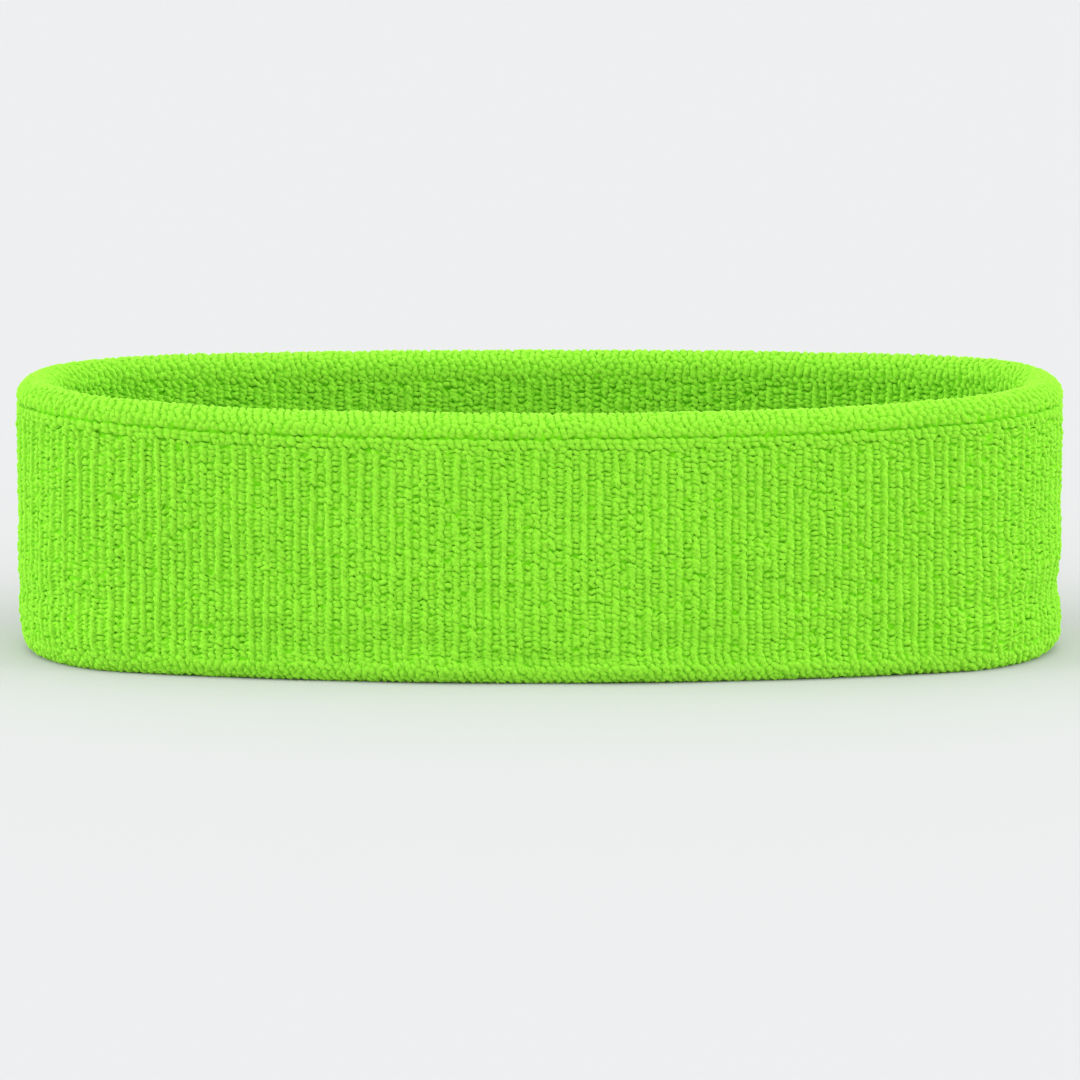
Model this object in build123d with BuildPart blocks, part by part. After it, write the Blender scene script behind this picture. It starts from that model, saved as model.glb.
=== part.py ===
"""Terry sweat headband: a double-faced knitted tube folded at both edges and overlocked shut inside.

Millimetres, +Z up. The band stands on its lower fold, opened to a relaxed oval about the origin.
Width is along X, depth along Y. Every section is drawn at the middle of the front wall, where the
sketch's x runs outwards from the wall's mid-line and its y runs up, and is swept round the oval.
"""

import math
import os

from build123d import *

# Driving dimensions
band_width = 190.0
band_depth = 70.0
band_height = 50.0
pile_depth = 2.0  # height of the terry loops above the ground knit
ground_thickness = 1.0
cavity = 1.0  # space between the two ground walls, where the elastic lies
end_radius = 22.7  # mid-line radius at the two ends of the oval
rest_flattening = 0.2  # how far the lower fold is pressed flat where it stands

elastic_radius = 0.3
elastic_count = 10  # laid-in turns in each wall
turning_groove_radius = 0.4
turning_groove_drops = (4.1, 6.1)  # below the top edge, on the outer face

seam_height = 25.0
seam_slit = 0.2  # between the two cut edges
seam_stand = 0.8  # how far the cut edges stand proud of the inner pile
thread_radius = 0.3
needle_depth = 1.9  # how deep the needle thread crosses the cut edges

# The oval's mid-line
wall = 2 * (pile_depth + ground_thickness) + cavity
half_width = (band_width - wall) / 2
half_depth = (band_depth - wall) / 2
end_centre = half_width - end_radius
side_radius = (end_centre**2 + half_depth**2 - end_radius**2) / (2 * (half_depth - end_radius))
side_centre = side_radius - half_depth
side_angle = math.degrees(math.asin(end_centre / (side_radius - end_radius)))

# The folded wall's section
pile_half = wall / 2
ground_half = pile_half - pile_depth
cavity_half = cavity / 2
top_fold = band_height - pile_half
bottom_fold = pile_half - rest_flattening
wall_middle = (top_fold + bottom_fold) / 2
edge_tip = pile_half + seam_stand
edge_half = ground_thickness + seam_slit / 2

front_middle = Plane(origin=(0, -half_depth, 0), x_dir=(0, -1, 0), z_dir=(-1, 0, 0))


def folded_layer(half_thickness, mode=Mode.ADD):
    """All of the folded wall's section that lies within half_thickness of its mid-line."""
    with Locations((0, wall_middle)):
        SlotCenterToCenter(top_fold - bottom_fold, 2 * half_thickness, rotation=90, mode=mode)


def seam_rectangle(inner, outer, half_height, mode):
    """A rectangle on the inner wall, level with the seam, from one depth to another."""
    with Locations((-(inner + outer) / 2, seam_height)):
        Rectangle(outer - inner, 2 * half_height, mode=mode)


def strand_spots(strand):
    """Where each strand crosses the section."""
    pitch = (top_fold - bottom_fold) / (elastic_count - 1)
    heights = [bottom_fold + pitch * turn for turn in range(elastic_count)]
    spots = {
        "elastic": [(side * cavity_half, height) for side in (-1, 1) for height in heights],
        "needle": [(needle_depth - edge_tip, seam_height + edge_half)],
        "upper_looper": [(-edge_tip, seam_height + edge_half / 2)],
        "lower_looper": [(-edge_tip, seam_height - edge_half / 2)],
    }
    return spots[strand]


def strand_channels():
    """Cuts the room that the strands take out of the section being drawn."""
    with Locations(strand_spots("elastic")):
        Circle(elastic_radius, mode=Mode.SUBTRACT)
    for strand in ("needle", "upper_looper", "lower_looper"):
        with Locations(strand_spots(strand)):
            Circle(thread_radius, mode=Mode.SUBTRACT)


# The line that every section follows: two long arcs and two end arcs, all tangent
with BuildLine() as oval:
    CenterArc((0, side_centre), side_radius, 270 - side_angle, 2 * side_angle)
    CenterArc((end_centre, 0), end_radius, side_angle - 90, 180 - 2 * side_angle)
    CenterArc((0, -side_centre), side_radius, 90 - side_angle, 2 * side_angle)
    CenterArc((-end_centre, 0), end_radius, 90 + side_angle, 180 - 2 * side_angle)

# Terry pile: the cotton loops, on both faces and round both folds
with BuildPart() as terry_pile:
    with BuildSketch(front_middle):
        folded_layer(pile_half)
        folded_layer(ground_half, Mode.SUBTRACT)
        seam_rectangle(ground_half, edge_tip, edge_half, Mode.SUBTRACT)
        with Locations([(pile_half, band_height - drop) for drop in turning_groove_drops]):
            Circle(turning_groove_radius, mode=Mode.SUBTRACT)
        with Locations((0, -rest_flattening)):
            Rectangle(2 * wall, 2 * rest_flattening, mode=Mode.SUBTRACT)
        strand_channels()
    sweep(path=oval.wire())

# Ground knit: the nylon cloth that carries the loops, folded double, its two cut edges turned to the inside
with BuildPart() as ground_knit:
    with BuildSketch(front_middle):
        folded_layer(ground_half)
        folded_layer(cavity_half, Mode.SUBTRACT)
        seam_rectangle(cavity_half, edge_tip, edge_half, Mode.ADD)
        seam_rectangle(0, edge_tip, seam_slit / 2, Mode.SUBTRACT)
        strand_channels()
    sweep(path=oval.wire())

# Elastic inlay: covered elastane, laid round the band at the back of each ground wall
with BuildPart() as elastic_inlay:
    with BuildSketch(front_middle):
        with Locations(strand_spots("elastic")):
            Circle(elastic_radius)
    sweep(path=oval.wire())

# Overlock needle thread, through both cut edges
with BuildPart() as seam_needle_thread:
    with BuildSketch(front_middle):
        with Locations(strand_spots("needle")):
            Circle(thread_radius)
    sweep(path=oval.wire())

# Overlock upper looper thread, over the cut edges' top side
with BuildPart() as seam_upper_looper:
    with BuildSketch(front_middle):
        with Locations(strand_spots("upper_looper")):
            Circle(thread_radius)
    sweep(path=oval.wire())

# Overlock lower looper thread, over the cut edges' under side
with BuildPart() as seam_lower_looper:
    with BuildSketch(front_middle):
        with Locations(strand_spots("lower_looper")):
            Circle(thread_radius)
    sweep(path=oval.wire())

pieces = {
    "terry_pile": terry_pile,
    "ground_knit": ground_knit,
    "elastic_inlay": elastic_inlay,
    "seam_needle_thread": seam_needle_thread,
    "seam_upper_looper": seam_upper_looper,
    "seam_lower_looper": seam_lower_looper,
}
os.makedirs("parts", exist_ok=True)
for name, piece in pieces.items():
    piece.part.label = name
    export_step(piece.part, f"parts/{name}.step")
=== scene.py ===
"""Looks of the terry sweat headband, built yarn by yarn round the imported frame. Metres, +Z up.

Every piece is laid out in the band's own coordinates: along, the distance round the oval from the
middle of the front; out, the distance outwards from the middle of the folded wall; and up.
"""

import math

import bpy
import numpy as np
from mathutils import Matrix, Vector


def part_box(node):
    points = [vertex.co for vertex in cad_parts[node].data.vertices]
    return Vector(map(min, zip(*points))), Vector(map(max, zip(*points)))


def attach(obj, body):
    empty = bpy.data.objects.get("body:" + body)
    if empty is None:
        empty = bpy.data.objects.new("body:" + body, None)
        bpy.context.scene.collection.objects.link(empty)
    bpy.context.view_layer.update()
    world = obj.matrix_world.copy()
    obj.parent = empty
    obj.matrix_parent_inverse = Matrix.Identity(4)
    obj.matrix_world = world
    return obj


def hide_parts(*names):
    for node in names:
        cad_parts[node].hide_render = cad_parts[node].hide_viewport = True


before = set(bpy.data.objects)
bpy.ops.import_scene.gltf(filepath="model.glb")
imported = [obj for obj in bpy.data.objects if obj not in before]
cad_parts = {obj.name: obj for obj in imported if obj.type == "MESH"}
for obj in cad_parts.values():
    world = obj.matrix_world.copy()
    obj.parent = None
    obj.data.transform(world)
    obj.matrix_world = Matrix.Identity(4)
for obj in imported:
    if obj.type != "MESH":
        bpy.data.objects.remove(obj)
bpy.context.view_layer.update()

MM = 0.001
BODY = "root"

# ---------------------------------------------------------------- driving sizes
# what the frame's boxes don't give, in step with the CAD
ground_thickness = 1.0 * MM
cavity_half = 0.5 * MM
end_radius = 22.7 * MM  # of the oval's mid-line at its two ends
rest_flattening = 0.2 * MM
seam_height = 25.0 * MM
seam_stand = 0.8 * MM
upper_groove_drop = 4.1 * MM
lower_groove_drop = 6.1 * MM

# from the frame
_, pile_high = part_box("terry_pile")
_, ground_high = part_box("ground_knit")
height = pile_high.z
pile_depth = pile_high.x - ground_high.x
ground_half = cavity_half + ground_thickness
pile_half = ground_half + pile_depth
half_width = pile_high.x - pile_half
half_depth = pile_high.y - pile_half
top_fold = height - pile_half
bottom_fold = pile_half - rest_flattening
edge_tip = pile_half + seam_stand
upper_groove = height - upper_groove_drop
lower_groove = height - lower_groove_drop


# ---------------------------------------------------------------- the oval that everything follows
def oval_arcs():
    """The mid-line as (centre x, centre y, radius, first angle, swept angle), from the front's middle."""
    end_centre = half_width - end_radius
    side_radius = (end_centre**2 + half_depth**2 - end_radius**2) / (2 * (half_depth - end_radius))
    side_centre = side_radius - half_depth
    side = math.asin(end_centre / (side_radius - end_radius))
    quarter = math.pi / 2
    return np.array([
        (0, side_centre, side_radius, -quarter, side),
        (end_centre, 0, end_radius, side - quarter, math.pi - 2 * side),
        (0, -side_centre, side_radius, quarter - side, 2 * side),
        (-end_centre, 0, end_radius, quarter + side, math.pi - 2 * side),
        (0, side_centre, side_radius, -quarter - side, side),
    ])


ARCS = oval_arcs()
ARC_ENDS = np.concatenate([[0], np.cumsum(ARCS[:, 2] * ARCS[:, 4])])
OVAL_LENGTH = ARC_ENDS[-1]


def on_oval(along):
    """Points, outward normals and tangents of the mid-line, in plan, at these distances along it."""
    along = np.mod(along, OVAL_LENGTH)
    arc = np.clip(np.searchsorted(ARC_ENDS, along, side="right") - 1, 0, len(ARCS) - 1)
    centre_x, centre_y, radius, first, _ = np.moveaxis(ARCS[arc], -1, 0)
    angle = first + (along - ARC_ENDS[arc]) / radius
    cos, sin = np.cos(angle), np.sin(angle)
    point = np.stack([centre_x + radius * cos, centre_y + radius * sin], -1)
    return point, np.stack([cos, sin], -1), np.stack([-sin, cos], -1)


# ---------------------------------------------------------------- meshes
UV_NAME = "OFBake"
YARN_ROW = 150  # tube segments in a row of the yarn's map
STRAND_SIDES = 8  # of the tubes of the elastic and the threads


def quad_mesh(name, points, quads, uv=None):
    """A smooth-shaded object from numpy points and four-sided faces, with a map for each face's corners."""
    mesh = bpy.data.meshes.new(name)
    mesh.vertices.add(len(points))
    mesh.vertices.foreach_set("co", points.astype(np.float32).ravel())
    mesh.loops.add(quads.size)
    mesh.loops.foreach_set("vertex_index", quads.astype(np.int32).ravel())
    mesh.polygons.add(len(quads))
    mesh.polygons.foreach_set("loop_start", np.arange(0, quads.size, 4, dtype=np.int32))
    if uv is not None:
        layer = mesh.uv_layers.new(name=UV_NAME)
        layer.data.foreach_set("uv", uv.astype(np.float32).ravel())
    mesh.update(calc_edges=True)
    mesh.polygons.foreach_set("use_smooth", np.ones(len(quads), bool))
    obj = bpy.data.objects.new(name, mesh)
    bpy.context.scene.collection.objects.link(obj)
    return obj


def yarn_map(strands, segments, sides):
    """Face-corner map of tubes, unrolled along the yarn and cut into rows that fill the square."""
    index = np.arange(strands * segments)
    rows = math.ceil(len(index) / YARN_ROW)
    u = (index % YARN_ROW)[:, None, None] + np.array([0, 0, 1, 1])
    v = (index // YARN_ROW)[:, None, None] + (np.arange(sides)[:, None] + np.array([0, 1, 1, 0])) / sides
    u = np.broadcast_to(u, (len(index), sides, 4)) / YARN_ROW
    return np.stack([u, v / rows], -1)


def least_twist(tangent, closed):
    """Directions square to each strand, carried along it without twisting and joined up if it is closed."""
    count = tangent.shape[1]
    here = tangent[:, 0]
    at = np.cross(here, np.cross(np.array([0.0, 0.0, 1.0]), here))
    at /= np.linalg.norm(at, axis=-1, keepdims=True)
    carried = np.empty_like(tangent)
    for step in range(count):
        carried[:, step] = at
        here, ahead = tangent[:, step], tangent[:, (step + 1) % count]
        axis, cos = np.cross(here, ahead), (here * ahead).sum(-1, keepdims=True)
        at = at * cos + np.cross(axis, at) + axis * (axis * at).sum(-1, keepdims=True) / (1 + cos)
    if not closed:
        return carried
    first = carried[:, 0]
    off = np.arctan2((np.cross(first, at) * tangent[:, 0]).sum(-1), (first * at).sum(-1))
    turn = (-off[:, None] * np.arange(count) / count)[..., None]
    return carried * np.cos(turn) + np.cross(tangent, carried) * np.sin(turn)


def tube_mesh(name, centre, radius, sides, closed):
    """Tubes as one mesh. centre is strands x points x 3."""
    if closed:
        ahead, behind = np.roll(centre, -1, 1), np.roll(centre, 1, 1)
    else:
        ahead = np.concatenate([centre[:, 1:], centre[:, -1:]], 1)
        behind = np.concatenate([centre[:, :1], centre[:, :-1]], 1)
    tangent = ahead - behind
    tangent /= np.linalg.norm(tangent, axis=-1, keepdims=True)
    first = least_twist(tangent, closed)
    second = np.cross(tangent, first)
    turn = 2 * math.pi * np.arange(sides) / sides
    radius = np.broadcast_to(radius, centre.shape[:2])[..., None, None]
    ring = first[..., None, :] * np.cos(turn)[:, None] + second[..., None, :] * np.sin(turn)[:, None]
    points = centre[..., None, :] + radius * ring
    strands, count = centre.shape[:2]
    index = np.arange(strands * count * sides).reshape(strands, count, sides)
    here = index if closed else index[:, :-1]
    there = np.roll(index, -1, 1) if closed else index[:, 1:]
    quads = np.stack([here, np.roll(here, -1, 2), np.roll(there, -1, 2), there], -1)
    segments = here.shape[1]
    uv = yarn_map(strands, segments, sides)
    quads, uv = quads.reshape(-1, 4), uv.reshape(-1, 4, 2)
    if not closed:
        half = np.arange(sides // 2 - 1)
        lid = np.stack([half, half + 1, sides - 2 - half, sides - 1 - half], -1)
        ends = [index[0, 0][lid][:, ::-1], index[0, -1][lid]]
        quads = np.concatenate([quads] + ends)
        uv = np.concatenate([uv, np.zeros((2 * len(half), 4, 2))])
    return quad_mesh(name, points.reshape(-1, 3), quads, uv)


def grid_mesh(name, points, closed_across):
    """A surface from around x across x 3 points, closed round the oval and, if asked, across."""
    around, across = points.shape[:2]
    index = np.arange(around * across).reshape(around, across)
    there = np.roll(index, -1, 0)
    cells = across if closed_across else across - 1
    quads = np.stack([index, there, np.roll(there, -1, 1), np.roll(index, -1, 1)], -1)[:, :cells]
    u = (np.arange(around)[:, None, None] + np.array([0, 1, 1, 0])) / around
    v = (np.arange(cells)[:, None] + np.array([0, 0, 1, 1])) / cells
    uv = np.stack([np.broadcast_to(u, (around, cells, 4)), np.broadcast_to(v, (around, cells, 4))], -1)
    return quad_mesh(name, points.reshape(-1, 3), quads.reshape(-1, 4), uv)


# ---------------------------------------------------------------- how the cloth stands
SIM_AROUND = 168
SIM_LEVELS = 21
SIM_FRAMES = 24
SIM_CAP = 0.55 * MM  # the most that the cloth may leave the CAD shape
SIM_GRIP = 0.1  # how firmly the cloth is held to its place above the floor, where it is held fully
SIM_SLACK = 0.12  # the most that the cloth grows, as a share of its size
SLACK_SEED = 4
SLACK_SPREADING = 3  # times that each place's slack is averaged with its neighbours'
WAVE_SMOOTHING = 4  # times that the waves are averaged round the oval
FRONT_SAG = 0.6 * MM  # how far the middle of the front's upper edge hangs
SAG_FADE = 0.45  # share of the half width over which the sag dies away towards each end


def standing_wall():
    """The wall's mid-surface before it settles: around x levels x 3."""
    point, _, _ = on_oval(np.arange(SIM_AROUND) * OVAL_LENGTH / SIM_AROUND)
    levels = np.linspace(0, height, SIM_LEVELS)
    flat = np.broadcast_to(point[:, None, :], (SIM_AROUND, SIM_LEVELS, 2))
    up = np.broadcast_to(levels[None, :, None], (SIM_AROUND, SIM_LEVELS, 1))
    return np.concatenate([flat, up], -1)


def settled_wall():
    """How far each place of the wall moves when it stands as cloth, slack enough to wave a little."""
    start = standing_wall()
    wall = grid_mesh("settling_wall", start, False)
    hold = wall.vertex_groups.new(name="hold")
    slack = wall.vertex_groups.new(name="slack")
    rolls = np.random.default_rng(SLACK_SEED).uniform(0, 1, (SIM_AROUND, SIM_LEVELS))
    for _ in range(SLACK_SPREADING):
        rolls = (rolls + np.roll(rolls, 1, 0) + np.roll(rolls, -1, 0)) / 3
    rolls = (rolls - rolls.min()) / (rolls.max() - rolls.min())
    for index, (spot, level) in enumerate(np.ndindex(SIM_AROUND, SIM_LEVELS)):
        hold.add([index], 1.0 if level == 0 else SIM_GRIP, "REPLACE")
        slack.add([index], float(rolls[spot, level]), "REPLACE")
    cloth = wall.modifiers.new("cloth", "CLOTH")
    settings = cloth.settings
    settings.quality = 6
    settings.mass = 0.3
    settings.tension_stiffness = 20
    settings.compression_stiffness = 20
    settings.shear_stiffness = 10
    settings.bending_stiffness = 0.5
    settings.effector_weights.gravity = 0.04
    settings.vertex_group_mass = "hold"
    settings.pin_stiffness = 1.0
    settings.vertex_group_shrink = "slack"
    settings.shrink_min = 0.0
    settings.shrink_max = -SIM_SLACK
    cloth.point_cache.frame_start = 1
    cloth.point_cache.frame_end = SIM_FRAMES
    scene = bpy.context.scene
    for step in range(1, SIM_FRAMES + 1):
        scene.frame_set(step)
    settled = wall.evaluated_get(bpy.context.evaluated_depsgraph_get())
    places = np.zeros(start.size, np.float32)
    settled.data.vertices.foreach_get("co", places)
    moved = places.reshape(start.shape).astype(float) - start
    bpy.data.objects.remove(wall)
    scene.frame_set(1)
    # the waves are kept, and the sinking and spreading of the whole cloth isn't
    _, normal, _ = on_oval(np.arange(SIM_AROUND) * OVAL_LENGTH / SIM_AROUND)
    spread = (moved[..., :2] * normal[:, None]).sum(-1).mean(0)
    moved[..., :2] -= spread[None, :, None] * normal[:, None]
    moved -= moved.mean(0)
    for _ in range(WAVE_SMOOTHING):
        moved = (moved + np.roll(moved, 1, 0) + np.roll(moved, -1, 0)) / 3
    reach = np.linalg.norm(moved, axis=-1, keepdims=True)
    return moved * np.tanh(reach / SIM_CAP) * SIM_CAP / np.maximum(reach, 1e-9)


SETTLED = settled_wall()


def sample(table, along, level):
    """The table's value between its places: along round the oval, level from 0 at the floor to 1."""
    around, levels = table.shape[:2]
    i = np.mod(along / OVAL_LENGTH, 1) * around
    j = np.clip(level, 0, 1) * (levels - 1)
    i0 = np.floor(i).astype(int)
    j0 = np.minimum(np.floor(j).astype(int), levels - 2)
    fi, fj = (i - i0)[..., None], (j - j0)[..., None]
    i0, i1 = i0 % around, (i0 + 1) % around
    low = table[i0, j0] * (1 - fi) + table[i1, j0] * fi
    high = table[i0, j0 + 1] * (1 - fi) + table[i1, j0 + 1] * fi
    return low * (1 - fj) + high * fj


def place(along, out, up):
    """World points of places given in the band's own coordinates."""
    along, out, up = np.broadcast_arrays(along, out, up)
    point, normal, _ = on_oval(along)
    level = np.clip(up / height, 0, 1)
    middle = np.clip((half_width - np.abs(point[..., 0])) / (SAG_FADE * half_width), 0, 1)
    front = np.clip(0.5 - point[..., 1] / half_depth, 0, 1)
    sag = FRONT_SAG * middle * middle * (3 - 2 * middle) * front
    flat = point + out[..., None] * normal
    world = np.concatenate([flat, (up - level * sag)[..., None]], -1)
    world = world + sample(SETTLED, along, level)
    world[..., 2] = np.maximum(world[..., 2], 0.0)
    return world


# ---------------------------------------------------------------- materials
class Material:
    """A node material being built: nodes by type, joined up by output and input name."""

    def __init__(self, name):
        self.made = bpy.data.materials.new(name)
        self.made.use_nodes = True
        self.tree = self.made.node_tree
        self.shader = self.tree.nodes["Principled BSDF"]
        self.coords = self.tree.nodes.new("ShaderNodeTexCoord")

    def node(self, kind, **inputs):
        """A node with these input values or links, names written with _ for a space."""
        made = self.tree.nodes.new("ShaderNode" + kind)
        for name, value in inputs.items():
            self.feed(made.inputs[name.replace("_", " ")], value)
        return made

    def feed(self, socket, value):
        if isinstance(value, bpy.types.NodeSocket):
            self.tree.links.new(value, socket)
        else:
            socket.default_value = value

    def set(self, **inputs):
        """Inputs of the surface shader."""
        for name, value in inputs.items():
            self.feed(self.shader.inputs[name.replace("_", " ")], value)

    def noise(self, scale, detail=2.0, source="Object"):
        made = self.node("TexNoise", Vector=self.coords.outputs[source], Scale=scale, Detail=detail)
        return made.outputs["Fac"]

    def ramp(self, value, *stops):
        """A colour ramp of (place, colour) stops."""
        made = self.node("ValToRGB", Fac=value)
        elements = made.color_ramp.elements
        while len(elements) < len(stops):
            elements.new(0.5)
        for element, (at, colour) in zip(elements, stops):
            element.position = at
            element.color = (*colour, 1)
        return made.outputs["Color"]

    def math(self, operation, *values):
        made = self.tree.nodes.new("ShaderNodeMath")
        made.operation = operation
        for socket, value in zip(made.inputs, values):
            self.feed(socket, value)
        return made.outputs["Value"]

    def mix(self, fac, first, second, blend="MIX"):
        made = self.tree.nodes.new("ShaderNodeMix")
        made.data_type = "RGBA"
        made.blend_type = blend
        self.feed(made.inputs["Factor"], fac)
        self.feed(made.inputs[6], first)
        self.feed(made.inputs[7], second)
        return made.outputs[2]

    def twist(self, plies, turns):
        """A wave from 0 to 1 that winds round the yarn like its plies, on the yarn's own map."""
        uv = self.node("SeparateXYZ", Vector=self.coords.outputs["UV"])
        around = self.math("MULTIPLY", uv.outputs["Y"], plies)
        length = self.math("MULTIPLY", uv.outputs["X"], turns)
        phase = self.math("MULTIPLY", self.math("ADD", around, length), 2 * math.pi)
        return self.math("MULTIPLY_ADD", self.math("SINE", phase), 0.5, 0.5)

    def bump(self, height_value, distance, strength=1.0):
        made = self.node("Bump", Height=height_value, Distance=distance, Strength=strength)
        self.set(Normal=made.outputs["Normal"])


RISE = "rise"  # the attribute that holds how far up its loop a point of the yarn is, by which the cotton paints shade low in the pile and a highlight tint at the loop tips
GREEN_FUZZ = (0.5, 1.0, 0.2, 1)


def terry_material():
    """Soft cotton: matt, dyed a little unevenly, with painted shade deep in the pile and a paler painted
    highlight tint on the loop tips, and a fuzz of fibre ends.
    """
    cotton = Material("cotton_terry")
    high = cotton.tree.nodes.new("ShaderNodeAttribute")
    high.attribute_name = RISE
    # painted shade and highlight: a deeper, more saturated green low in the pile where the loops shade each
    # other, and a paler, yellower green at the loop tips where they catch the light
    depth = cotton.ramp(high.outputs["Fac"], (0.35, (0.24, 0.77, 0.009)), (1.0, (0.355, 0.80, 0.046)))
    fine = cotton.ramp(cotton.noise(1400, 3), (0.3, (0.86, 0.90, 0.8)), (0.7, (1.0, 1.0, 1.0)))
    broad = cotton.ramp(cotton.noise(60, 3), (0.3, (0.94, 0.97, 0.92)), (0.7, (1.0, 1.0, 1.0)))
    # the painted shade and highlight, mottled with the fine random tone
    base_tint = cotton.mix(1.0, depth, fine, "MULTIPLY")
    cotton.set(Base_Color=cotton.mix(1.0, base_tint, broad, "MULTIPLY"))
    cotton.set(Roughness=cotton.math("MULTIPLY_ADD", cotton.noise(700), 0.2, 0.75))
    cotton.set(Specular_IOR_Level=0.12, Sheen_Weight=0.15, Sheen_Roughness=0.5, Sheen_Tint=GREEN_FUZZ)
    cotton.set(Diffuse_Roughness=1.0)
    cotton.bump(cotton.noise(2600, 2), 0.05 * MM, 0.8)
    return cotton.made


def ground_material():
    """Nylon ground knit, a shade deeper than the pile."""
    nylon = Material("nylon_ground")
    base_tint = nylon.ramp(nylon.noise(900, 3), (0.3, (0.2, 0.62, 0.012)), (0.7, (0.28, 0.78, 0.02)))
    nylon.set(Base_Color=base_tint)
    nylon.set(Roughness=nylon.math("MULTIPLY_ADD", nylon.noise(500), 0.2, 0.55))
    nylon.set(Specular_IOR_Level=0.25, Sheen_Weight=0.15, Sheen_Roughness=0.5, Sheen_Tint=GREEN_FUZZ)
    nylon.bump(nylon.noise(2200, 2), 0.05 * MM, 0.8)
    return nylon.made


def elastane_material():
    """Covered elastic: a pale core wound round with fine yarn."""
    cover = Material("covered_elastane")
    wound = cover.twist(20, YARN_ROW * 2)
    cover.set(Base_Color=cover.ramp(wound, (0.1, (0.55, 0.58, 0.48)), (0.6, (0.80, 0.83, 0.72))))
    cover.set(Roughness=cover.math("MULTIPLY_ADD", wound, -0.15, 0.65))
    cover.bump(wound, 0.05 * MM)
    return cover.made


def thread_material():
    """Textured overlock thread: two plies with a slight gloss."""
    thread = Material("sewing_thread")
    plies = thread.twist(8, YARN_ROW)
    colour = thread.ramp(plies, (0.0, (0.24, 0.66, 0.012)), (0.7, (0.36, 0.84, 0.04)))
    thread.set(Base_Color=colour, Roughness=thread.math("MULTIPLY_ADD", plies, -0.15, 0.5))
    thread.set(Specular_IOR_Level=0.25, Sheen_Weight=0.15, Sheen_Roughness=0.5, Sheen_Tint=GREEN_FUZZ)
    thread.bump(plies, 0.06 * MM)
    return thread.made


COTTON, NYLON, ELASTANE, THREAD = terry_material(), ground_material(), elastane_material(), thread_material()


def finish_piece(piece, node, material):
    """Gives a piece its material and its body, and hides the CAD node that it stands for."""
    piece.data.materials.append(material)
    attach(piece, BODY)
    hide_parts(node)
    return piece


# ---------------------------------------------------------------- pile
WALES = 296
COURSE_PITCH = 0.80 * MM
YARN_RADIUS = 0.37 * MM
YARN_SIDES = 6
COURSES_IN_PIECE = 9
PILE_SEED = 26
LOOP = np.array([
    # across the loop (in wales), height (in loop heights), yarn thickness
    (-0.50, 0.68, 1.15),
    (-0.31, 0.84, 1.15),
    (-0.19, 0.95, 1.15),
    (0.00, 1.00, 1.10),
    (0.19, 0.95, 1.15),
    (0.31, 0.84, 1.15),
])
BEND_RISE = 0.1  # the loop's height above which it leaves its feet

# every second wale stands up as a rib, and the wales between lie as rungs
RIB_TWIST = math.radians(88)  # how far the loops of a rib turn into line with it
RUNG_TWIST = math.radians(15)
FOLD_TWIST = math.radians(80)
FOLD_STANDING = 0.5  # a fold's loops, between a rung at 0 and a rib at 1
MESS_FLATTENS = 0.4  # how far a messy patch lays its ribs down
RIB_LIFT = 0.13  # how much higher a rib is than a rung, in loop heights
LOOP_WIDTH = 0.82  # of a rung's loop, in wales
RIB_WIDTH = 0.25  # how much wider a rib's loop is

# how uneven the loops are, as spreads about their even places
SLOW_STAGGER = 0.36  # up and down in courses, changing slowly up a wale
STAGGER_REACH = 1  # how slowly, in courses
FAST_STAGGER = 0.16  # and from loop to loop
WANDER = 0.07  # sideways in wales, changing slowly up a wale
WANDER_REACH = 4
LIFT_SPREAD = 0.045  # in loop heights
WIDTH_SPREAD = 0.12  # in wales
YARN_SPREAD = 0.08  # of the yarn's radius
TWIST_SPREAD = 0.38  # in radians
MESSY_TWIST = 0.22  # how much a messy patch adds
RIB_HOLDS_TWIST = 0.27  # how much a rib takes off
FOLD_ADDS_TWIST = 0.1
SLIDE_SPREAD = 0.05  # of the loop's tip sideways, in wales
MESSY_SLIDE = 0.07
FOLD_SLIDE = 0.1
LEAN_SPREAD = 0.12  # of the loop's tip up and down, in millimetres
MESSY_LEAN = 0.15

# how far folds, turning grooves and ribs even the loops out
FOLD_EVENS_STAGGER = 0.45
FOLD_EVENS_LIFT = 0.6
FOLD_FILLS = 0.25  # how much thicker the yarn is round a fold
CREASE_EVENS_STAGGER = 0.5
RIB_EVENS_STAGGER = 0.5
CREASE_EVENS_TWIST = 0.45
CREASE_LEVEL = 0.94  # loop height beside a turning groove
UPPER_CREASE = 0.7  # how far the upper groove evens the courses beside it
LOWER_CREASE = 0.35
UPPER_SIDE = 0.72 * MM  # from the upper groove to the course beside it
LOWER_SIDE = 0.46 * MM

FOLD_STEP = 13.9  # degrees from course to course round a fold
FOLD_COURSES = 13
COLLAR_START = 14  # degrees, the top fold's first course
COMBED_TOP = 3.6 * MM  # below the top edge, where the loops start to lie less evenly
COMBED_FADE = 2.2 * MM
COMBED_BOTTOM = 5.5 * MM  # above the floor, where the loops are wholly open
SEAM_PARTING = 1.75 * MM  # from the seam's middle to the course beside it
INNER_STOP = 0.4 * MM  # from the inner face's last course to the top fold

PATCH_SEED = 5
PATCH_WAVES = 9
PATCH_TURNS = (4, 34)  # fewest and most waves round the band
PATCH_SLOPE = 300  # radians for each metre up, at most
PATCH_SOFTNESS = 6
rng = np.random.default_rng(PILE_SEED)


def patches(along, up, seed):
    """A slow random field over the cloth, from 0 to 1."""
    around = 2 * math.pi * along / OVAL_LENGTH
    rolls = np.random.default_rng(seed)
    field = 0
    for _ in range(PATCH_WAVES):
        turns = rolls.integers(*PATCH_TURNS)
        slope = rolls.uniform(-PATCH_SLOPE, PATCH_SLOPE)
        phase = rolls.uniform(0, 2 * math.pi)
        field = field + np.sin(turns * around + slope * up + phase)
    return np.clip(0.5 + field / PATCH_SOFTNESS, 0, 1)


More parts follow.
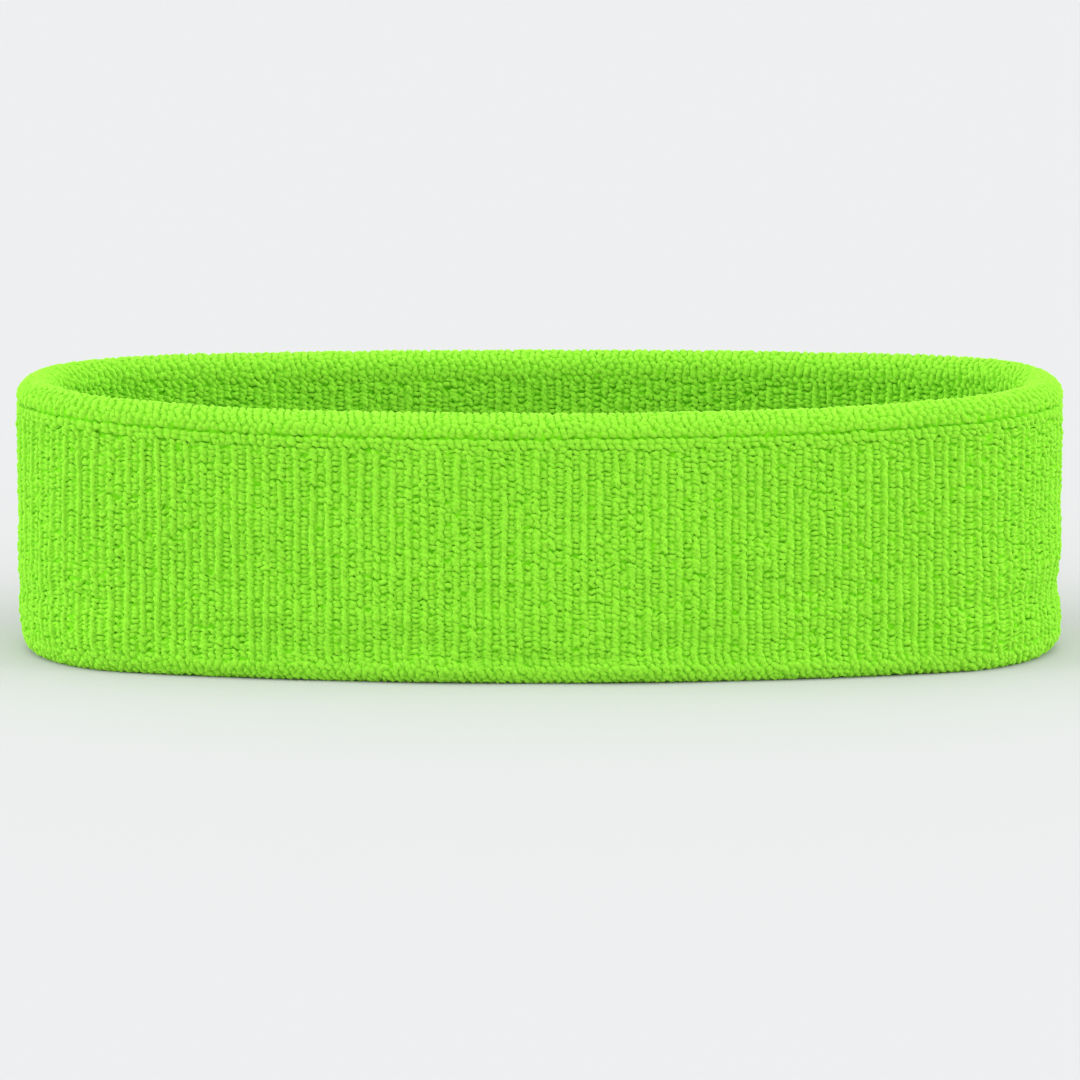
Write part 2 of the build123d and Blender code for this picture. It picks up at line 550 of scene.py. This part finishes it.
def uneven(shape, reach):
    """Random numbers, about 1 in size, that change over this many courses up each wale."""
    values = rng.standard_normal(shape)
    beside = np.arange(-2 * reach, 2 * reach + 1)
    weight = np.exp(-0.5 * (beside / reach) ** 2)
    rows = np.clip(np.arange(shape[0])[:, None] + beside, 0, shape[0] - 1)
    return (values[rows] * weight[None, :, None, None]).sum(1) / np.sqrt((weight**2).sum())


def loops(courses):
    """Centre points and yarn thickness of the pile in these courses.

    Each course is (out, up, normal angle, loop height, smooth, crease). smooth is 1 where the loops
    are pressed even, as round the folds, and 0 in the open wall. crease is over 0 in the courses
    beside a turning groove.
    """
    count = len(courses)
    out0, up0, angle, tall, smooth, crease = (c[:, None, None] for c in np.array(courses).T)
    wale = np.arange(WALES)[None, :, None]
    pitch = OVAL_LENGTH / WALES
    each = (count, WALES, 1)
    side, high, thick = LOOP.T
    rise = np.clip((high - high.min()) / (1 - high.min()), 0, 1)
    open_wall = 1 - smooth
    mess = patches(wale * pitch, up0, PATCH_SEED)
    standing = np.where(wale % 2, 1.0, 0.0) * (1 - MESS_FLATTENS * mess) * open_wall
    standing = (standing + FOLD_STANDING * smooth) * (1 - crease)
    stagger = SLOW_STAGGER * uneven(each, STAGGER_REACH) + FAST_STAGGER * rng.standard_normal(each)
    evened = (1 - FOLD_EVENS_STAGGER * smooth) * (1 - CREASE_EVENS_STAGGER * crease)
    stagger = COURSE_PITCH * stagger * evened * (1 - RIB_EVENS_STAGGER * standing * open_wall)
    wander = WANDER * uneven(each, WANDER_REACH) * open_wall
    lift = LIFT_SPREAD * rng.standard_normal(each) + RIB_LIFT * (standing - 0.5)
    lift = tall * (1 + lift * (1 - FOLD_EVENS_LIFT * smooth)) * (1 - (1 - CREASE_LEVEL) * crease)
    twist = (RUNG_TWIST + (RIB_TWIST - RUNG_TWIST) * standing) * open_wall
    twist = twist + FOLD_TWIST * smooth * (1 - crease)
    loose = TWIST_SPREAD + MESSY_TWIST * mess + FOLD_ADDS_TWIST * smooth
    loose = loose - RIB_HOLDS_TWIST * standing * open_wall
    twist = twist + rng.standard_normal(each) * loose * (1 - CREASE_EVENS_TWIST * crease)
    slide = rng.standard_normal(each) * (SLIDE_SPREAD + MESSY_SLIDE * mess * open_wall + FOLD_SLIDE * smooth)
    lean = rng.standard_normal(each) * (LEAN_SPREAD + MESSY_LEAN * mess * open_wall) * (1 - crease) * MM
    wide = LOOP_WIDTH + WIDTH_SPREAD * rng.standard_normal(each) + RIB_WIDTH * standing
    turn = twist * np.sqrt(rise)
    shift = smooth * rng.uniform(0, 1, (count, 1, 1))
    middle = wale + 0.5 + shift
    bent = rise > BEND_RISE
    along = np.where(bent, middle + wander + side * wide * np.cos(turn) + slide * rise, middle + side) * pitch
    drift = side * wide * np.sin(turn) * pitch + lean * rise + stagger * np.where(bent, 1, 0.5)
    reach = high * lift
    outward = out0 + reach * np.cos(angle) + drift * np.sin(angle)
    upward = up0 + reach * np.sin(angle) - drift * np.cos(angle)
    radius = thick * YARN_RADIUS * (1 + FOLD_FILLS * smooth) * (1 + YARN_SPREAD * rng.standard_normal(each))
    centre = place(along, outward, np.maximum(upward, radius))
    flat = (count, WALES * len(LOOP))
    return centre.reshape(*flat, 3), radius.reshape(flat)


def combed(up):
    """How evenly the loops are pressed at this height: 1 near both edges, 0 in the open wall."""
    near_top = 1 - np.maximum(0.0, height - up - COMBED_TOP) / COMBED_FADE
    near_bottom = 1 - up / COMBED_BOTTOM
    return np.clip(np.maximum(near_top, near_bottom), 0, 1)


def wall_courses(side, low, high, top_crease=0.0):
    """Courses on one face of the wall, side +1 outside and -1 inside, from low to high."""
    count = round((high - low) / COURSE_PITCH)
    normal = 0.0 if side > 0 else math.pi
    made = []
    for turn, up in enumerate(np.linspace(low, high, count + 1)):
        crease = top_crease if turn == count else 0.0
        made.append((side * ground_half, up, normal, pile_depth - YARN_RADIUS, combed(up), crease))
    return made


def fold_courses(centre_up, angles):
    """Courses round a fold at these normal angles, in degrees."""
    made = []
    for turn in np.radians(angles):
        out, up = ground_half * math.cos(turn), centre_up + ground_half * math.sin(turn)
        made.append((out, up, turn, pile_depth - YARN_RADIUS, 1.0, 0.0))
    return made


def collar_courses():
    """The courses beside the two turning grooves, and on round the top fold."""
    beside = (
        (lower_groove + LOWER_SIDE, LOWER_CREASE),
        (upper_groove - UPPER_SIDE, UPPER_CREASE),
        (upper_groove + UPPER_SIDE, UPPER_CREASE),
    )
    made = [(ground_half, up, 0.0, pile_depth - YARN_RADIUS, 1.0, crease) for up, crease in beside]
    return made + fold_courses(top_fold, COLLAR_START + FOLD_STEP * np.arange(FOLD_COURSES))


def paint_shade_by_height(piece, rise, sides):
    """Tells the cotton how far up its loop each point of the yarn is, for its painted shade and highlight by
    height.
    """
    layer = piece.data.attributes.new(RISE, "FLOAT", "POINT")
    layer.data.foreach_set("value", np.repeat(rise, sides).astype(np.float32))


def pile_pieces():
    """The whole pile, in pieces of a few courses each."""
    runs = {
        "outer": wall_courses(1, bottom_fold, lower_groove - LOWER_SIDE, LOWER_CREASE),
        "inner_lower": wall_courses(-1, bottom_fold, seam_height - SEAM_PARTING),
        "inner_upper": wall_courses(-1, seam_height + SEAM_PARTING, top_fold - INNER_STOP),
        "top_fold": collar_courses(),
        "bottom_fold": fold_courses(bottom_fold, -FOLD_STEP * (0.5 + np.arange(FOLD_COURSES))),
    }
    made = []
    for name, courses in runs.items():
        strands = loops(courses)
        chunks = math.ceil(len(courses) / COURSES_IN_PIECE)
        for chunk in range(chunks):
            share = slice(chunk * len(courses) // chunks, (chunk + 1) * len(courses) // chunks)
            centre, radius = (part[share] for part in strands)
            piece = tube_mesh(f"pile_{name}_{chunk + 1}", centre, radius, YARN_SIDES, True)
            paint_shade_by_height(piece, np.tile(LOOP[:, 1], centre.size // 3 // len(LOOP)), YARN_SIDES)
            made.append(finish_piece(piece, "terry_pile", COTTON))
    return made


ROOT_DEPTH = 1.16 * MM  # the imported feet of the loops
FOLD_ROOTS = 0.45 * MM  # how much higher they stand round the folds
ROOT_STEP = 0.85 * MM
ROOT_LUMP = 0.2 * MM
ROOT_RIDGE = 0.16 * MM  # how much higher they stand on the wales than between
ROOT_SINK = 0.2 * MM  # how far the skin's hidden side lies in the ground cloth
ROOT_LIP = 0.3 * MM  # how far they reach past the last course, into the seam's parting
ROOT_SHADE = 0.3  # their place in the cotton's painted shade and highlight tint, from the foot of a loop at 0 to its top at 1; below the loops' feet, so the skin takes the deepest painted shade
ROOT_SEED = 8
UPPER_DIP = 0.5 * MM  # how much lower they stand in the turning grooves
LOWER_DIP = 0.3 * MM
DIP_REACH = 0.7 * MM


def roots_piece():
    """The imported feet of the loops, as one lumpy closed skin on the ground cloth, parted at the seam."""
    half = ground_half + ROOT_DEPTH
    part = seam_height - SEAM_PARTING + ROOT_LIP
    upper_part = seam_height + SEAM_PARTING - ROOT_LIP
    outer_section = [
        (part - bottom_fold, 0.0),
        (half * math.pi, math.pi),
        (top_fold - bottom_fold, 0.0),
        (half * math.pi, math.pi),
        (top_fold - upper_part, 0.0),
    ]
    inner = ground_half - ROOT_SINK
    inner_section = [(length * (inner / half if turn else 1), turn) for length, turn in outer_section]
    faces = []
    for section, radius, step, lump in (
        (outer_section, half, ROOT_STEP, ROOT_LUMP),
        (inner_section, inner, 4 * ROOT_STEP, 0.0),
    ):
        places, headings = walk(section, (0.0, 0.0), step)
        out, up = places[:, 1] - radius, part - places[:, 0]
        normal = np.stack([-np.cos(headings), np.sin(headings)], -1)
        rolls = lump * np.random.default_rng(ROOT_SEED).standard_normal((2 * WALES, len(places)))
        if lump:
            ridge = ROOT_RIDGE * (2 * (np.arange(2 * WALES) % 2) - 1)
            dip = 0
            for groove, depth in ((upper_groove, UPPER_DIP), (lower_groove, LOWER_DIP)):
                dip = dip + depth * np.clip(1 - np.abs(up - groove) / DIP_REACH, 0, 1) * (out > 0)
            rolls = rolls + ridge[:, None] + FOLD_ROOTS * combed(up) - dip
        along = np.arange(2 * WALES)[:, None] * OVAL_LENGTH / (2 * WALES)
        faces.append(place(along, out + rolls * normal[:, 0], up + rolls * normal[:, 1]))
    points = np.concatenate([faces[0], faces[1][:, ::-1]], 1)
    piece = grid_mesh("pile_roots", points, True)
    paint_shade_by_height(piece, np.full(points.size // 3, ROOT_SHADE), 1)
    return finish_piece(piece, "terry_pile", COTTON)


# ---------------------------------------------------------------- ground knit
LIP_HEIGHT = 0.6 * MM  # from the seam's middle to the middle of each turned edge
LIP_BEND = 0.5 * MM
CLOTH_HALF = 0.45 * MM
CLOTH_STEP = 1.45 * MM
BEND_STEP = 0.5  # radians from place to place round a bend
KNIT_RELIEF = 0.07 * MM


def cloth_path():
    """The ground cloth's section, from one cut edge to the other, as (length, turn) stretches."""
    mid = cavity_half + ground_thickness / 2
    lip = edge_tip - LIP_BEND - mid
    lower = seam_height - LIP_HEIGHT - LIP_BEND - bottom_fold
    upper = top_fold - (seam_height + LIP_HEIGHT + LIP_BEND)
    quarter = math.pi / 2
    return [
        (lip, 0.0),
        (LIP_BEND * quarter, -quarter),
        (lower, 0.0),
        (mid * math.pi, math.pi),
        (top_fold - bottom_fold, 0.0),
        (mid * math.pi, math.pi),
        (upper, 0.0),
        (LIP_BEND * quarter, -quarter),
        (lip, 0.0),
    ]


def walk(path, start, step):
    """Places and headings at even steps along a path of straights and bends."""
    places, headings = [], []
    at, heading = np.array(start, float), 0.0
    for length, turn in path:
        count = max(2, round(length / step)) if turn == 0 else max(3, round(abs(turn) / BEND_STEP))
        for _ in range(count):
            places.append(at.copy())
            headings.append(heading)
            middle = heading + turn / count / 2
            at = at + length / count * np.array([math.cos(middle), math.sin(middle)])
            heading += turn / count
    places.append(at)
    headings.append(heading)
    return np.array(places), np.array(headings)


def ground_piece():
    """The ground cloth, one closed skin bumpy with its stitches, and the length of its section."""
    path = cloth_path()
    places, headings = walk(path, (-edge_tip, seam_height - LIP_HEIGHT), CLOTH_STEP)
    normal = np.stack([np.sin(headings), -np.cos(headings)], -1)
    around = 2 * WALES
    count = len(places)
    stitch = (np.add.outer(np.arange(around), np.arange(count)) % 2 * 2 - 1) * KNIT_RELIEF
    along = np.arange(around)[:, None] * OVAL_LENGTH / around
    faces = []
    for side in (1, -1):
        off = side * (CLOTH_HALF + side * stitch)
        out = places[None, :, 0] + off * normal[None, :, 0]
        up = places[None, :, 1] + off * normal[None, :, 1]
        faces.append(place(along, out, up))
    points = np.concatenate([faces[0], faces[1][:, ::-1]], 1)
    piece = grid_mesh("ground_cloth", points, True)
    return finish_piece(piece, "ground_knit", NYLON), sum(length for length, _ in path)


# ---------------------------------------------------------------- elastic
ELASTIC_RADIUS = 0.3 * MM
ELASTIC_TURNS = 18
ELASTIC_STEP = 2.2 * MM
ELASTIC_GAP = 1.2 * MM  # from its first and last turns to the turned edges
SECTION_STEP = 0.4 * MM


def elastic_piece():
    """Covered elastane, laid in as one spiral from the lower cut edge round both folds to the upper one."""
    reach = LIP_HEIGHT + ELASTIC_GAP
    section = [
        (seam_height - reach - bottom_fold, 0.0),
        (cavity_half * math.pi, math.pi),
        (top_fold - bottom_fold, 0.0),
        (cavity_half * math.pi, math.pi),
        (top_fold - seam_height - reach, 0.0),
    ]
    # the walk starts heading outwards, so the section is turned to head down
    places, _ = walk(section, (0.0, 0.0), SECTION_STEP)
    turned = np.stack([places[:, 1] - cavity_half, seam_height - reach - places[:, 0]], -1)
    share = np.concatenate([[0], np.cumsum(np.linalg.norm(np.diff(turned, axis=0), axis=1))])
    count = round(ELASTIC_TURNS * OVAL_LENGTH / ELASTIC_STEP)
    turn = np.linspace(0, 1, count)
    out = np.interp(turn, share / share[-1], turned[:, 0])
    up = np.interp(turn, share / share[-1], turned[:, 1])
    along = turn * ELASTIC_TURNS * OVAL_LENGTH
    centre = place(along, out, up)[None]
    piece = tube_mesh("elastic_yarn", centre, ELASTIC_RADIUS, STRAND_SIDES, False)
    return finish_piece(piece, "elastic_inlay", ELASTANE)


# ---------------------------------------------------------------- overlock seam
STITCHES = 160
STITCH_SPREAD = 0.04  # of a stitch's place, in stitches
DEPTH_SPREAD = 0.02  # of a stitch's depth
THREAD_RADIUS = 0.2 * MM
NEEDLE_OUT = -2.4 * MM
LOOPER_OUT = -3.6 * MM  # halfway from the edge's tip to the needle line
EDGE_FACE = 1.25 * MM  # from the seam's middle to a thread lying on the turned edge


def seam_thread(name, node, knots, shift):
    """A thread round the band whose every stitch goes through these (stitch share, out, up) knots."""
    share, out, up = np.array(knots).T
    stitch = np.arange(STITCHES)[:, None]
    jitter = np.random.default_rng(len(name)).standard_normal((STITCHES, 1))
    along = ((stitch + share + shift + STITCH_SPREAD * jitter) * OVAL_LENGTH / STITCHES).ravel()
    out = (out * (1 + DEPTH_SPREAD * jitter)).ravel()
    up = (seam_height + np.broadcast_to(up, (STITCHES, len(knots)))).ravel()
    centre = place(along, out, up)[None]
    piece = tube_mesh(name, centre, THREAD_RADIUS, STRAND_SIDES, True)
    return finish_piece(piece, node, THREAD)


def looper_knots(side):
    """One looper's stitch: from the edge's tip over one face to the needle line and back."""
    tip, face = -edge_tip - THREAD_RADIUS, side * EDGE_FACE
    return [
        (0.00, tip, 0.1 * face),
        (0.10, tip + 0.15 * MM, 0.8 * face),
        (0.25, LOOPER_OUT, face),
        (0.42, NEEDLE_OUT - 0.1 * MM, face),
        (0.58, NEEDLE_OUT - 0.1 * MM, face),
        (0.75, LOOPER_OUT, face),
        (0.90, tip + 0.15 * MM, 0.8 * face),
    ]


def needle_knots():
    """The needle thread's stitch: along the upper face, then down through both edges and back."""
    top, low = EDGE_FACE + 0.2 * MM, -EDGE_FACE - 0.1 * MM
    return [
        (0.06, NEEDLE_OUT, 0.5 * top),
        (0.14, NEEDLE_OUT, top),
        (0.40, NEEDLE_OUT, top + 0.08 * MM),
        (0.66, NEEDLE_OUT, top + 0.08 * MM),
        (0.86, NEEDLE_OUT, top),
        (0.94, NEEDLE_OUT, 0.5 * top),
        (0.97, NEEDLE_OUT, 0.7 * low),
        (1.00, NEEDLE_OUT + 0.1 * MM, low),
        (1.03, NEEDLE_OUT, 0.7 * low),
    ]


def seam_pieces():
    return [
        seam_thread("overlock_needle_thread", "seam_needle_thread", needle_knots(), 0.0),
        seam_thread("overlock_upper_looper", "seam_upper_looper", looper_knots(1), 0.0),
        seam_thread("overlock_lower_looper", "seam_lower_looper", looper_knots(-1), 0.5),
    ]


# ---------------------------------------------------------------- stage
LOOK_AT = Vector((0, 0, 0.0198))
CAMERA_ELEVATION = math.radians(11.1)
CAMERA_DISTANCE = 1.5
FRAME_WIDTH = 0.1977  # what the picture spans at the band
SENSOR_WIDTH = 36
FLOOR_REACH = 20.0


def sun(name, direction, strength, spread):
    """A soft distant light from this direction."""
    lamp = bpy.data.lights.new(name, "SUN")
    lamp.energy = strength
    lamp.angle = math.radians(spread)
    obj = bpy.data.objects.new(name, lamp)
    obj.rotation_mode = "QUATERNION"
    obj.rotation_quaternion = (-Vector(direction)).to_track_quat("-Z", "Y")
    bpy.context.scene.collection.objects.link(obj)


def build_stage():
    scene = bpy.context.scene
    scene.view_settings.view_transform = "Standard"
    world = bpy.data.worlds.new("studio")
    world.use_nodes = True
    background = world.node_tree.nodes["Background"]
    background.inputs["Color"].default_value = (0.97, 0.98, 1.0, 1)
    background.inputs["Strength"].default_value = 0.9
    scene.world = world
    corners = [(x * FLOOR_REACH, y * FLOOR_REACH, 0) for x, y in ((-1, -1), (1, -1), (1, 1), (-1, 1))]
    mesh = bpy.data.meshes.new("floor")
    mesh.from_pydata(corners, [], [(0, 1, 2, 3)])
    floor = bpy.data.objects.new("floor", mesh)
    scene.collection.objects.link(floor)
    paint = Material("floor")
    paint.set(Base_Color=(0.55, 0.55, 0.55, 1), Roughness=0.9, Specular_IOR_Level=0.0)
    mesh.materials.append(paint.made)
    sun("top", (0.0, -0.35, 1.0), 0.8, 70)
    sun("front", (0.1, -1.0, 0.6), 0.3, 60)
    sun("left", (-1.0, -0.15, 0.3), 2.3, 40)
    sun("right", (1.0, -0.15, 0.3), 2.1, 40)


def build_camera():
    lens = bpy.data.cameras.new("camera")
    lens.sensor_width = SENSOR_WIDTH
    lens.lens = SENSOR_WIDTH * CAMERA_DISTANCE / FRAME_WIDTH
    lens.clip_start, lens.clip_end = 0.05, 50
    obj = bpy.data.objects.new("camera", lens)
    bpy.context.scene.collection.objects.link(obj)
    back = Vector((0, -math.cos(CAMERA_ELEVATION), math.sin(CAMERA_ELEVATION)))
    obj.location = LOOK_AT + back * CAMERA_DISTANCE
    obj.rotation_mode = "QUATERNION"
    obj.rotation_quaternion = (-back).to_track_quat("-Z", "Y")
    bpy.context.scene.camera = obj


build_camera()
pile = pile_pieces() + [roots_piece()]
ground, cloth_length = ground_piece()
inlay = elastic_piece()
threads = seam_pieces()
build_stage()
